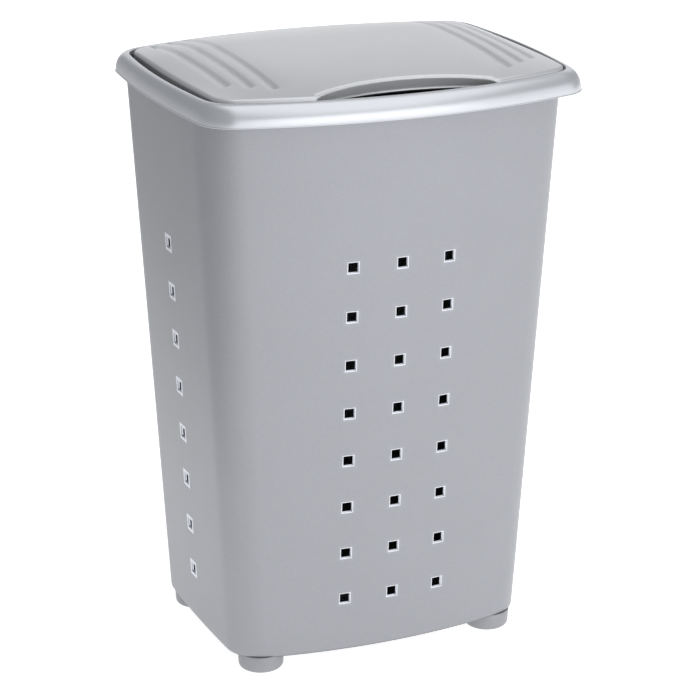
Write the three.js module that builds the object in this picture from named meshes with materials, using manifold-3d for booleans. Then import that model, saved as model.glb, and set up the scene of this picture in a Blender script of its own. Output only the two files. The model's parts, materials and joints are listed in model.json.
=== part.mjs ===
// Laundry hamper with a hinged lid, in millimetres.
// X is to the right, Y to the back and Z up. The origin is on the floor, under the middle of the collar.
// The front is the side with the finger arch in the lid, at negative Y.
import * as THREE from 'three';
import { mergeVertices } from 'three/addons/utils/BufferGeometryUtils.js';
import Module from 'manifold-3d';

const wasm = await Module();
wasm.setup();

// ---- Driving dimensions ----
const contactGap = 0.3;        // between pieces that rest on each other
const cutMargin = 1;           // how far a cutting tool runs past the face it cuts

// Tub: a tapered box with bowed sides, standing on four feet.
const footHeight = 17;
const tubTopZ = 543.7;
const tubTop = { width: 357.1, depth: 291.7, bow: 30.4, sideBow: 3.2, corner: 45 };
const tubTaperX = 59.7;        // the bottom is this much narrower than the top
const tubTaperY = 55.4;
const tubBottomCurve = { bow: 18.9, sideBow: 2.8, corner: 34 };
const tubWall = 2.2;
const tubFloor = 2.6;
const tubHeelRadius = 4;       // rounding between the floor and the sides
const flangeReach = 3.4;       // the tub's top edge turns outwards by this much
const flangeThickness = 2.2;

// Ventilation holes.
const holeSize = 8.8;
const holePitchX = 47.3;
const holeRows = 8;
const holeColumns = 3;
const holeTopMargin = 143.8;   // from the tub's top edge to the top row
const holeBottomMargin = 53.25; // from the tub's underside to the bottom row

// Collar: the rolled rim that caps the tub and takes the lid.
const collarSkirtDrop = 4.2;   // the collar's outer edge hangs this far below the tub's top edge
const collarRise = 14.6;       // and its top edge stands this far above it
const collarOverhangSide = 12.95; // from the tub's top edge out to the collar's edge
const collarOverhangFront = 25.55;
const collarOverhangBack = 6.75;
const collarCurve = { bow: 30.3, sideBow: 8.5, corner: 35 };
const collarRollX = 8.8;       // how far the roll leans in at the sides
const collarRollY = 14.2;      // and at the front and back
const collarInnerCorner = 31;
const collarWall = 2.4;
const collarTopLand = 0.8;
const collarDraft = 1;
const ledgeThickness = 2.5;
const ledgeWidthX = 14.7;      // from the roll's inner edge to the mouth, at the sides
const ledgeWidthY = 16.3;      // and at the front
const mouthCorner = 24;
const lipDepth = 8;            // the lip that drops inside the tub
const lipThickness = 2;
const lipClearance = 0.4;
const seatInset = 6.2;         // the seat's width inside the tub's outline

// Lid: a domed panel set into the collar.
const lidSideGap = 9.2;
const lidFrontGap = 1.5;
const lidBackGap = 5.1;
const lidWellClearance = 0.1;
const lidSideBow = 4;
const lidCorner = 22;
const lidSkin = 2.5;
const lidSkirtWall = 2.2;
const lidFrontRise = 2.5;      // front edge of the lid above the collar's top edge
const lidEdgeFall = 1.5;       // the lid's edge is this much lower at the back
const lidEdgeSag = 0.6;        // and this much lower again halfway along the sides
const lidCrown = 13.5;
const lidCrownShare = 0.645;   // the highest line of the dome, as a share of the lid's depth
const lidSideFlatness = 6.2;
const lidFrontFlatness = 2.3;
const lidBackFlatness = 1.7;

// Flutes pressed into the lid near both ends.
const fluteCount = 3;
const fluteOffset = 60.3;      // from the lid's side to the innermost flute
const flutePitch = 17.7;
const fluteHalfWidth = 6.2;
const fluteDepth = 2.1;
const fluteFrontInset = 21;
const fluteBackInset = 7;
const fluteStagger = 7.5;      // each flute further out starts this much further back
const fluteRunout = 6;

// Finger arch in the lid's front edge.
const archShare = 0.507;       // the arch's width as a share of the lid's
const archDepth = 28;
const archWallDrop = 5;        // the arch's wall ends this far below the collar's top edge
const archWallThickness = 2.2;

// Hinge: two pins near the back corners.
const pinRadius = 1.6;
const pinHeadRadius = 2.6;
const pinHeadThickness = 1;
const pinHeadFace = 1.8;       // radius of the flat on the head's outer side
const knuckleRadius = 3;
const knuckleLength = 9.8;
const earInnerThickness = 6;
const earOuterThickness = 4;
const hingeSideGap = 0.6;
const pinPressGap = 0.05;
const pinRunningGap = 0.1;
const hingeInset = 29.1;       // from the collar's inner edge to the outer ear
const hingeForward = 18;       // from the back corner line to the hinge line
const seatPlateFront = 12;     // the plate under the ears, in front of the hinge line
const reliefMargin = 4;        // room round the lid's skirt where it dips past the ledge

// Feet.
const footRadius = 22;
const footInsetX = 29.7;       // from the tub's widest bottom edge to the foot's centre
const footInsetY = 31.65;
const footRearInsetX = 24.2;   // the rear feet stand further out, and further from the back edge
const footRearInsetY = 45.55;
const footWall = 2.5;
const footRounding = 3;
const footStemRadius = 6;
const footStemHole = 6.3;
const footStemHeight = 5.5;
const footSteps = 24;

// ---- Derived sizes ----
const tubBottomZ = footHeight + contactGap;
const tubBottom = {
  ...tubBottomCurve,
  width: tubTop.width - tubTaperX,
  depth: tubTop.depth - tubTaperY,
};
const holeTopZ = tubTopZ - holeTopMargin;
const holePitchZ = (holeTopZ - tubBottomZ - holeBottomMargin) / (holeRows - 1);
const collarSkirtZ = tubTopZ - collarSkirtDrop;
const collarTopZ = tubTopZ + collarRise;
const collarOuter = {
  ...collarCurve,
  width: tubTop.width + 2 * collarOverhangSide,
  depth: tubTop.depth + collarOverhangFront + collarOverhangBack,
};
const tubOffsetY = (collarOverhangFront - collarOverhangBack) / 2;
const seatZ = tubTopZ + contactGap;
const ledgeZ = seatZ + ledgeThickness;
const collarInner = {
  width: collarOuter.width - 2 * collarRollX,
  depth: collarOuter.depth - 2 * collarRollY,
  bow: collarOuter.bow,
  sideBow: collarOuter.sideBow,
  corner: collarInnerCorner,
};
const innerHalfWidth = collarInner.width / 2;
const innerHalfDepth = collarInner.depth / 2;
const lidFrontY = -innerHalfDepth + lidFrontGap;
const lidBackY = innerHalfDepth - lidBackGap;
const lidPlan = {
  width: collarInner.width - 2 * lidSideGap,
  depth: lidBackY - lidFrontY,
  bow: collarInner.bow,
  sideBow: lidSideBow,
  corner: lidCorner,
  y: (lidBackY + lidFrontY) / 2,
};
const lidBottomZ = ledgeZ + contactGap;
const lidCrownY = lidFrontY + lidPlan.depth * lidCrownShare;
const archHalfWidth = (lidPlan.width / 2) * archShare;
const hingeY = innerHalfDepth - collarInner.bow - hingeForward;
const hingeZ = ledgeZ + contactGap + knuckleRadius;
const earOuterX = innerHalfWidth - hingeInset - earOuterThickness / 2;
const knuckleX = earOuterX - earOuterThickness / 2 - hingeSideGap - knuckleLength / 2;
const earInnerX = knuckleX - knuckleLength / 2 - hingeSideGap - earInnerThickness / 2;

// ---- Materials ----
const silver = { color: 0xb9bcc2, roughness: 0.38, metalness: 0.35 };
const tubMaterial = new THREE.MeshStandardMaterial(silver);
const collarMaterial = new THREE.MeshStandardMaterial({ ...silver, roughness: 0.28 });
const lidMaterial = new THREE.MeshStandardMaterial({ ...silver, color: 0xc2c4c8 });
const footMaterial = new THREE.MeshStandardMaterial(silver);
const pinMaterial = new THREE.MeshStandardMaterial({ color: 0x9a9da2, roughness: 0.5, metalness: 0.1 });

// ---- Outlines: rectangles with bowed sides and round corners ----
const frontSteps = 12;
const sideSteps = 8;
const cornerSteps = 6;

function arcPoints(cx, cy, radius, from, to, steps) {
  const points = [];
  for (let i = 0; i < steps; i += 1) {
    const angle = from + ((to - from) * i) / steps;
    points.push(new THREE.Vector2(cx + radius * Math.cos(angle), cy + radius * Math.sin(angle)));
  }
  return points;
}

// The fillet's centre lies at radius - corner from the centres of both arcs that it joins.
function filletCentre(endRadius, endY, sideRadius, sideX, corner) {
  const a = endRadius - corner;
  const b = sideRadius - corner;
  const between = Math.hypot(sideX, endY);
  const along = (between * between + a * a - b * b) / (2 * between);
  const off = Math.sqrt(a * a - along * along);
  const ux = sideX / between;
  const uy = -endY / between;
  return new THREE.Vector2(ux * along + uy * off, endY + uy * along - ux * off);
}

function outline(plan) {
  const halfX = plan.width / 2 - plan.sideBow;
  const halfY = plan.depth / 2 - plan.bow;
  const endRadius = (halfX * halfX + plan.bow * plan.bow) / (2 * plan.bow);
  const sideRadius = (halfY * halfY + plan.sideBow * plan.sideBow) / (2 * plan.sideBow);
  const endY = plan.depth / 2 - endRadius;
  const sideX = plan.width / 2 - sideRadius;
  const corner = filletCentre(endRadius, endY, sideRadius, sideX, plan.corner);
  const sideEnd = Math.atan2(corner.y, corner.x - sideX);
  const endStart = Math.atan2(corner.y - endY, corner.x);
  const halfTurn = Math.PI;
  const quarter = [
    ...arcPoints(sideX, 0, sideRadius, 0, sideEnd, sideSteps / 2),
    ...arcPoints(corner.x, corner.y, plan.corner, sideEnd, endStart, cornerSteps),
    ...arcPoints(0, endY, endRadius, endStart, halfTurn / 2, frontSteps / 2),
  ];
  const top = new THREE.Vector2(0, plan.depth / 2);
  const side = new THREE.Vector2(plan.width / 2, 0);
  const mirrorX = (p) => new THREE.Vector2(-p.x, p.y);
  const mirrorY = (p) => new THREE.Vector2(p.x, -p.y);
  const upper = [...quarter, top, ...quarter.slice(1).reverse().map(mirrorX)];
  const lower = [mirrorX(side), ...upper.slice(1).reverse().map(mirrorY)];
  const centreY = plan.y ?? 0;
  return [...upper, ...lower].map((p) => new THREE.Vector2(p.x, p.y + centreY));
}

function inset(plan, by) {
  return {
    ...plan,
    width: plan.width - 2 * by,
    depth: plan.depth - 2 * by,
    corner: Math.max(plan.corner - by, 1),
  };
}

function blend(a, b, t) {
  const mix = (key) => (a[key] ?? 0) * (1 - t) + (b[key] ?? 0) * t;
  return {
    width: mix('width'),
    depth: mix('depth'),
    bow: mix('bow'),
    sideBow: mix('sideBow'),
    corner: mix('corner'),
    y: mix('y'),
  };
}

// ---- Solids ----
function ringStack(rings, closed) {
  const count = outline(rings[0].plan).length;
  const positions = [];
  for (const ring of rings) {
    for (const p of outline(ring.plan)) positions.push(p.x, p.y, ring.z);
  }
  const index = [];
  const joins = closed ? rings.length : rings.length - 1;
  for (let k = 0; k < joins; k += 1) {
    const low = k * count;
    const high = ((k + 1) % rings.length) * count;
    for (let i = 0; i < count; i += 1) {
      const j = (i + 1) % count;
      index.push(low + i, low + j, high + j, low + i, high + j, high + i);
    }
  }
  if (!closed) addCaps(rings, positions, index, count);
  const geometry = new THREE.BufferGeometry();
  geometry.setAttribute('position', new THREE.Float32BufferAttribute(positions, 3));
  geometry.setIndex(index);
  return geometry;
}

function addCaps(rings, positions, index, count) {
  const last = rings.length - 1;
  const bottomCentre = positions.length / 3;
  positions.push(0, rings[0].plan.y ?? 0, rings[0].z);
  positions.push(0, rings[last].plan.y ?? 0, rings[last].z);
  for (let i = 0; i < count; i += 1) {
    const j = (i + 1) % count;
    index.push(bottomCentre, j, i);
    index.push(bottomCentre + 1, last * count + i, last * count + j);
  }
}

function toSolid(geometry) {
  const bare = geometry.clone();
  bare.deleteAttribute('normal');
  bare.deleteAttribute('uv');
  const merged = mergeVertices(bare, 1e-4);
  return new wasm.Manifold(new wasm.Mesh({
    numProp: 3,
    vertProperties: new Float32Array(merged.attributes.position.array),
    triVerts: new Uint32Array(merged.index.array),
  }));
}

function toGeometry(solid) {
  const mesh = solid.getMesh();
  const geometry = new THREE.BufferGeometry();
  geometry.setAttribute('position', new THREE.BufferAttribute(new Float32Array(mesh.vertProperties), 3));
  geometry.setIndex(new THREE.BufferAttribute(new Uint32Array(mesh.triVerts), 1));
  geometry.computeVertexNormals();
  return geometry;
}

const block = (rings) => toSolid(ringStack(rings, false));
const hoop = (rings) => toSolid(ringStack(rings, true));
const prism = (plan, fromZ, toZ) => block([{ plan, z: fromZ }, { plan, z: toZ }]);

function box(x0, x1, y0, y1, z0, z1) {
  const geometry = new THREE.BoxGeometry(x1 - x0, y1 - y0, z1 - z0);
  geometry.translate((x0 + x1) / 2, (y0 + y1) / 2, (z0 + z1) / 2);
  return toSolid(geometry);
}

const roundSteps = 20;

// A round bar along X.
function barX(x0, x1, y, z, radius) {
  const geometry = new THREE.CylinderGeometry(radius, radius, x1 - x0, roundSteps);
  geometry.rotateZ(Math.PI / 2);
  geometry.translate((x0 + x1) / 2, y, z);
  return toSolid(geometry);
}

function barZ(x, y, z0, z1, radius) {
  const geometry = new THREE.CylinderGeometry(radius, radius, z1 - z0, roundSteps);
  geometry.rotateX(Math.PI / 2);
  geometry.translate(x, y, (z0 + z1) / 2);
  return toSolid(geometry);
}

function extruded(shape, fromZ, toZ, curveSegments) {
  const geometry = new THREE.ExtrudeGeometry(shape, {
    depth: toZ - fromZ,
    bevelEnabled: false,
    curveSegments,
  });
  geometry.translate(0, 0, fromZ);
  return toSolid(geometry);
}

// ---- Tub ----
function tubPlan(z) {
  const t = (z - tubBottomZ) / (tubTopZ - tubBottomZ);
  return { ...blend(tubBottom, tubTop, t), y: tubOffsetY };
}

function tubShell() {
  const heel = tubHeelRadius;
  const heelStep = heel * (1 - Math.SQRT1_2);
  const flangeZ = tubTopZ - flangeThickness;
  const outer = block([
    { plan: inset(tubPlan(tubBottomZ), heel), z: tubBottomZ },
    { plan: inset(tubPlan(tubBottomZ + heelStep), heelStep), z: tubBottomZ + heelStep },
    { plan: tubPlan(tubBottomZ + heel), z: tubBottomZ + heel },
    { plan: tubPlan(flangeZ - flangeReach), z: flangeZ - flangeReach },
    { plan: inset(tubPlan(flangeZ), -flangeReach), z: flangeZ },
    { plan: inset(tubPlan(tubTopZ), -flangeReach), z: tubTopZ },
  ]);
  const floorZ = tubBottomZ + tubFloor;
  const inner = block([
    { plan: inset(tubPlan(floorZ), tubWall + heel / 2), z: floorZ },
    { plan: inset(tubPlan(floorZ + heel / 2), tubWall), z: floorZ + heel / 2 },
    { plan: inset(tubPlan(tubTopZ + cutMargin), tubWall), z: tubTopZ + cutMargin },
  ]);
  return outer.subtract(inner);
}

function holeZ(row) {
  return holeTopZ - row * holePitchZ;
}

// Each cutter runs right through the tub, so a hole in the front has its twin in the back.
function tubHoles() {
  const half = holeSize / 2;
  const reach = Math.max(tubTop.width, tubTop.depth);
  let cutters = null;
  const add = (cutter) => {
    cutters = cutters ? cutters.add(cutter) : cutter;
  };
  for (let row = 0; row < holeRows; row += 1) {
    const z = holeZ(row);
    for (let column = 0; column < holeColumns; column += 1) {
      const x = (column - (holeColumns - 1) / 2) * holePitchX;
      add(box(x - half, x + half, -reach, reach, z - half, z + half));
    }
    add(box(-reach, reach, tubOffsetY - half, tubOffsetY + half, z - half, z + half));
  }
  return cutters;
}

function footPlaces() {
  const x = tubBottom.width / 2 - footInsetX;
  const y = tubBottom.depth / 2 - footInsetY;
  const rearX = tubBottom.width / 2 - footRearInsetX;
  const rearY = tubOffsetY + tubBottom.depth / 2 - footRearInsetY;
  return [
    { name: 'foot_front_left', x: -x, y: tubOffsetY - y },
    { name: 'foot_front_right', x, y: tubOffsetY - y },
    { name: 'foot_rear_left', x: -rearX, y: rearY },
    { name: 'foot_rear_right', x: rearX, y: rearY },
  ];
}

function makeTub() {
  let tub = tubShell().subtract(tubHoles());
  for (const place of footPlaces()) {
    const above = tubBottomZ + tubFloor + cutMargin;
    tub = tub.subtract(barZ(place.x, place.y, tubBottomZ - cutMargin, above, footStemHole));
  }
  return tub;
}

// ---- Feet: hollow caps with a stem that snaps through the tub's floor ----
function footGeometry() {
  const rim = footRadius;
  const cup = rim - footWall;
  const floorZ = footWall;
  const stem = footStemRadius;
  const profile = [
    [0, 0],
    [rim - footRounding, 0],
    [rim - footRounding * (1 - Math.SQRT1_2), footRounding * (1 - Math.SQRT1_2)],
    [rim, footRounding],
    [rim, footHeight],
    [cup, footHeight],
    [cup, floorZ],
    [stem, floorZ],
    [stem, footHeight + footStemHeight],
    [0, footHeight + footStemHeight],
  ];
  const geometry = new THREE.LatheGeometry(profile.map(([r, z]) => new THREE.Vector2(r, z)), footSteps);
  geometry.rotateX(Math.PI / 2);
  return geometry;
}

// ---- Collar ----
const rollSteps = 4;

// The outside of the roll is a quarter of an ellipse from the skirt's edge up to the inner edge.
function rollRings(insetBy, topZ) {
  const rings = [];
  for (let i = 0; i <= rollSteps; i += 1) {
    const angle = (Math.PI / 2) * (i / rollSteps);
    const plan = blend(collarInner, collarOuter, Math.cos(angle));
    const z = collarSkirtZ + (topZ - collarSkirtZ) * Math.sin(angle);
    rings.push({ plan: inset(plan, insetBy), z });
  }
  return rings;
}

const mouthPlan = {
  ...collarInner,
  width: collarInner.width - 2 * ledgeWidthX,
  depth: collarInner.depth - 2 * ledgeWidthY,
  corner: mouthCorner,
};
const wellPlan = inset(collarInner, collarTopLand + collarDraft);

function collarEnvelope() {
  return hoop([
    ...rollRings(0, collarTopZ),
    { plan: inset(collarInner, collarTopLand), z: collarTopZ },
    { plan: wellPlan, z: ledgeZ },
    { plan: mouthPlan, z: ledgeZ },
    { plan: mouthPlan, z: seatZ },
    { plan: inset(collarOuter, collarWall), z: seatZ },
    { plan: inset(collarOuter, collarWall), z: collarSkirtZ },
  ]);
}

// The space under the roll, open downwards.
function collarHollow() {
  const roof = rollRings(collarWall, collarTopZ - collarWall).slice(0, rollSteps - 1);
  const roofZ = roof[roof.length - 1].z;
  const wallPlan = inset(wellPlan, -collarWall);
  return hoop([
    { plan: inset(collarOuter, collarWall), z: collarSkirtZ - cutMargin },
    ...roof,
    { plan: wallPlan, z: roofZ },
    { plan: wallPlan, z: collarSkirtZ - cutMargin },
  ]);
}

// A wall over the tub's top edge, so that the collar sits on the tub all the way round.
function collarSeat() {
  const top = { ...tubTop, y: tubOffsetY };
  const outside = inset(top, -flangeReach - contactGap * 2);
  const inside = inset(top, seatInset);
  return hoop([
    { plan: outside, z: seatZ },
    { plan: outside, z: collarTopZ },
    { plan: inside, z: collarTopZ },
    { plan: inside, z: seatZ },
  ]);
}

function collarLip() {
  const bottomZ = seatZ - lipDepth;
  const outside = (z) => inset(tubPlan(z), tubWall + lipClearance);
  const inside = (z) => inset(outside(z), lipThickness);
  return hoop([
    { plan: outside(bottomZ), z: bottomZ },
    { plan: outside(tubTopZ), z: ledgeZ },
    { plan: inside(tubTopZ), z: ledgeZ },
    { plan: inside(bottomZ), z: bottomZ },
  ]);
}

// Behind the hinge line the lid dips as it opens, so the ledge stops there, and at the sides a little sooner.
function ledgeRelief() {
  const z0 = seatZ - lipDepth - cutMargin;
  const z1 = ledgeZ + cutMargin;
  const insideTub = inset({ ...tubTop, y: tubOffsetY }, tubWall + contactGap);
  const room = prism(inset(wellPlan, contactGap), z0, z1).intersect(prism(insideTub, z0, z1));
  const far = innerHalfWidth;
  const back = innerHalfDepth;
  const behind = box(-far, far, hingeY, back, z0, z1);
  const sideX = lidPlan.width / 2 - lidSideBow - lidSkirtWall - reliefMargin;
  const sideY = hingeY - knuckleRadius - reliefMargin;
  const right = box(sideX, far, sideY, back, z0, z1);
  const left = box(-far, -sideX, sideY, back, z0, z1);
  return room.intersect(behind.add(right).add(left));
}

// The plates under the hinge's ears reach inwards from the ledge.
function hingeSeats() {
  const outerX = innerHalfWidth - ledgeWidthX;
  const innerX = earInnerX - earInnerThickness / 2;
  const front = hingeY - seatPlateFront;
  const right = box(innerX, outerX, front, hingeY, seatZ, ledgeZ);
  const left = box(-outerX, -innerX, front, hingeY, seatZ, ledgeZ);
  return right.add(left);
}

function ear(x, thickness) {
  const x0 = x - thickness / 2;
  const x1 = x + thickness / 2;
  const post = box(x0, x1, hingeY - knuckleRadius, hingeY + knuckleRadius, seatZ, hingeZ);
  const eye = barX(x0, x1, hingeY, hingeZ, knuckleRadius);
  const hole = barX(x0 - cutMargin, x1 + cutMargin, hingeY, hingeZ, pinRadius + pinPressGap);
  return post.add(eye).subtract(hole);
}

function makeCollar() {
  const hollow = collarHollow().subtract(collarSeat());
  let collar = collarEnvelope().subtract(hollow).add(collarLip());
  collar = collar.add(hingeSeats()).subtract(ledgeRelief());
  for (const side of [-1, 1]) {
    collar = collar.add(ear(side * earOuterX, earOuterThickness));
    collar = collar.add(ear(side * earInnerX, earInnerThickness));
  }
  return collar;
}

// ---- Lid ----
const lidHalfWidth = lidPlan.width / 2;
const bowRadius = (() => {
  const half = lidHalfWidth - lidSideBow;
  return (half * half + lidPlan.bow * lidPlan.bow) / (2 * lidPlan.bow);
})();
const bowAt = (x) => bowRadius - Math.sqrt(bowRadius * bowRadius - x * x);

const flutes = [];
for (let i = 0; i < fluteCount; i += 1) {
  const x = lidHalfWidth - fluteOffset + i * flutePitch;
  const front = lidFrontY + bowAt(x) + fluteFrontInset + i * fluteStagger;
  const back = lidBackY - bowAt(x) - fluteBackInset;
  flutes.push({ x, front, back });
}

function fluteDip(x, y) {
  for (const flute of flutes) {
    const across = Math.abs(Math.abs(x) - flute.x) / fluteHalfWidth;
    if (across >= 1) continue;
    const toEnd = Math.min(y - flute.front, flute.back - y);
    const run = THREE.MathUtils.clamp(toEnd / fluteRunout, 0, 1);
    return fluteDepth * Math.cos((across * Math.PI) / 2) ** 2 * Math.sin((run * Math.PI) / 2);
  }
  return 0;
}

function lidTopZ(x, y) {
  const front = lidFrontY + bowAt(x);
  const back = lidBackY - bowAt(x);
  const span = y < lidCrownY ? lidCrownY - front : back - lidCrownY;
  const lengthwise = Math.min(Math.abs(y - lidCrownY) / span, 1);
  const crosswise = Math.min(Math.abs(x) / lidHalfWidth, 1);
  const share = THREE.MathUtils.clamp((y - lidFrontY) / lidPlan.depth, 0, 1);
  const fall = lidEdgeFall * share ** 2 + lidEdgeSag * Math.sin(Math.PI * share);
  const edge = collarTopZ + lidFrontRise - fall;
  const flatness = y < lidCrownY ? lidFrontFlatness : lidBackFlatness;
  const dome = lidCrown * (1 - crosswise ** lidSideFlatness) * (1 - lengthwise ** flatness);
  return edge + dome - fluteDip(x, y);
}

// Grid lines: even steps between the flutes, and five lines over each flute.
const middleSteps = 5;
const closestRows = 0.5;

function gridColumns() {
  const inner = flutes[0].x - fluteHalfWidth;
  const right = [];
  for (let i = 0; i < middleSteps; i += 1) right.push((inner * i) / middleSteps);
  for (const flute of flutes) {
    for (const share of [-1, -0.5, 0, 0.5, 1]) right.push(flute.x + share * fluteHalfWidth);
  }
  const last = right[right.length - 1];
  const edge = lidHalfWidth + cutMargin;
  right.push((last + edge) / 2, edge);
  return [...right.slice(1).reverse().map((x) => -x), ...right];
}

function gridRows() {
  const rows = [];
  for (const flute of flutes) {
    rows.push(flute.front, flute.front + fluteRunout, flute.back - fluteRunout, flute.back);
  }
  const first = lidFrontY - cutMargin;
  const last = lidBackY + cutMargin;
  const middleFront = Math.max(...flutes.map((flute) => flute.front)) + fluteRunout;
  const middleBack = Math.min(...flutes.map((flute) => flute.back)) - fluteRunout;
  for (let i = 1; i < middleSteps; i += 1) {
    rows.push(middleFront + ((middleBack - middleFront) * i) / middleSteps);
  }
  rows.push(first, (first + rows[0]) / 2, last, last - (last - flutes[0].back) / 2);
  rows.sort((a, b) => a - b);
  return rows.filter((y, i) => i === 0 || y - rows[i - 1] > closestRows);
}

// Everything between baseZ and a surface that lies drop below the lid's top.
function underLid(drop, baseZ) {
  const columns = gridColumns();
  const rows = gridRows();
  const across = columns.length;
  const positions = [];
  for (const y of rows) for (const x of columns) positions.push(x, y, lidTopZ(x, y) - drop);
  for (const y of rows) for (const x of columns) positions.push(x, y, baseZ);
  const under = rows.length * across;
  const index = [];
  const quad = (a, b, c, d) => index.push(a, b, c, a, c, d);
  for (let r = 0; r + 1 < rows.length; r += 1) {
    for (let c = 0; c + 1 < across; c += 1) {
      const i = r * across + c;
      quad(i, i + 1, i + across + 1, i + across);
      quad(under + i, under + i + across, under + i + across + 1, under + i + 1);
    }
    const left = r * across;
    const right = left + across - 1;
    quad(left, left + across, under + left + across, under + left);
    quad(right, under + right, under + right + across, right + across);
  }
  const backRow = (rows.length - 1) * across;
  for (let c = 0; c + 1 < across; c += 1) {
    quad(c, under + c, under + c + 1, c + 1);
    quad(backRow + c, backRow + c + 1, under + backRow + c + 1, under + backRow + c);
  }
  const geometry = new THREE.BufferGeometry();
  geometry.setAttribute('position', new THREE.Float32BufferAttribute(positions, 3));
  geometry.setIndex(index);
  return toSolid(geometry);
}

// The arch is one arc from edge to edge of the lid's front, bulging backwards.
const archApexY = lidFrontY + archDepth;
const archEndY = lidFrontY + bowAt(archHalfWidth);
const archSagitta = archApexY - archEndY;
const archRadius = (archHalfWidth ** 2 + archSagitta ** 2) / (2 * archSagitta);
const archCentreY = archApexY - archRadius;
const archAngle = Math.asin(archHalfWidth / archRadius);
const archSteps = 16;

function archCut(topZ) {
  const shape = new THREE.Shape();
  const from = Math.PI / 2 - archAngle;
  const to = Math.PI / 2 + archAngle;
  shape.absarc(0, archCentreY, archRadius, from, to, false);
  shape.lineTo(-archHalfWidth, lidFrontY - cutMargin);
  shape.lineTo(archHalfWidth, lidFrontY - cutMargin);
  return extruded(shape, lidBottomZ - cutMargin, topZ, archSteps);
}

function archWall(topZ) {
  const shape = new THREE.Shape();
  const spread = archAngle + archWallThickness / archRadius;
  const from = Math.PI / 2 - spread;
  const to = Math.PI / 2 + spread;
  shape.absarc(0, archCentreY, archRadius, from, to, false);
  shape.absarc(0, archCentreY, archRadius + archWallThickness, to, from, true);
  return extruded(shape, collarTopZ - archWallDrop, topZ, archSteps);
}

function lidKnuckle(side) {
  const x0 = side * knuckleX - knuckleLength / 2;
  const x1 = side * knuckleX + knuckleLength / 2;
  const y0 = hingeY - knuckleRadius;
  const y1 = hingeY + knuckleRadius;
  const eye = barX(x0, x1, hingeY, hingeZ, knuckleRadius);
  const web = box(x0, x1, y0, y1, hingeZ, collarTopZ + lidCrown);
  return eye.add(web);
}

// The lid keeps clear of the well's walls, which lean outwards as they rise.
function wellRoom(highZ) {
  const top = inset(collarInner, collarTopLand + lidWellClearance);
  return block([
    { plan: inset(wellPlan, lidWellClearance), z: ledgeZ - cutMargin },
    { plan: inset(wellPlan, lidWellClearance), z: ledgeZ },
    { plan: top, z: collarTopZ },
    { plan: top, z: highZ },
  ]);
}

function makeLid() {
  const highZ = collarTopZ + lidCrown * 2;
  const under = underLid(0, lidBottomZ);
  const outer = prism(lidPlan, lidBottomZ, highZ).intersect(under).intersect(wellRoom(highZ));
  const inner = prism(inset(lidPlan, lidSkirtWall), lidBottomZ - cutMargin, highZ);
  const cavity = inner.intersect(underLid(lidSkin, lidBottomZ - cutMargin));
  let lid = outer.subtract(cavity).subtract(archCut(highZ));
  lid = lid.add(archWall(highZ).intersect(outer));
  const knuckles = lidKnuckle(-1).add(lidKnuckle(1)).intersect(underLid(lidSkin / 2, lidBottomZ));
  lid = lid.add(knuckles);
  const far = innerHalfWidth;
  return lid.subtract(barX(-far + lidCorner, far - lidCorner, hingeY, hingeZ, pinRadius + pinRunningGap));
}

// ---- Hinge pins ----
function pinGeometry() {
  const start = earInnerX - earInnerThickness / 2;
  const end = earOuterX + earOuterThickness / 2;
  const length = end - start;
  const head = pinHeadThickness;
  const profile = [
    [0, -contactGap - head],
    [pinHeadFace, -contactGap - head],
    [pinHeadRadius, -contactGap - head / 2],
    [pinHeadRadius, -contactGap],
    [pinRadius, -contactGap],
    [pinRadius, length],
    [0, length],
  ];
  const geometry = new THREE.LatheGeometry(profile.map(([r, z]) => new THREE.Vector2(r, z)), roundSteps);
  return geometry;
}

// ---- The hamper ----
function piece(name, geometry, material) {
  const mesh = new THREE.Mesh(geometry, material);
  mesh.name = name;
  return mesh;
}

const hamper = new THREE.Group();
hamper.add(piece('tub', toGeometry(makeTub()), tubMaterial));
hamper.add(piece('collar', toGeometry(makeCollar()), collarMaterial));
hamper.add(piece('lid', toGeometry(makeLid()), lidMaterial));

for (const place of footPlaces()) {
  const foot = piece(place.name, footGeometry(), footMaterial);
  foot.position.set(place.x, place.y, 0);
  hamper.add(foot);
}

// The pins lie along X, each with its head towards the middle of the lid.
for (const side of [-1, 1]) {
  const pin = piece(side < 0 ? 'hinge_pin_left' : 'hinge_pin_right', pinGeometry(), pinMaterial);
  pin.position.set(side * (earInnerX - earInnerThickness / 2), hingeY, hingeZ);
  pin.rotation.z = (-side * Math.PI) / 2;
  hamper.add(pin);
}

export default hamper;
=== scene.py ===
"""A silver plastic laundry hamper: tub, collar, hinged lid, feet and hinge pins, on a pale studio floor."""

import json
import math
from dataclasses import dataclass, replace

import bpy
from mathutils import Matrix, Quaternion, Vector


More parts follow.
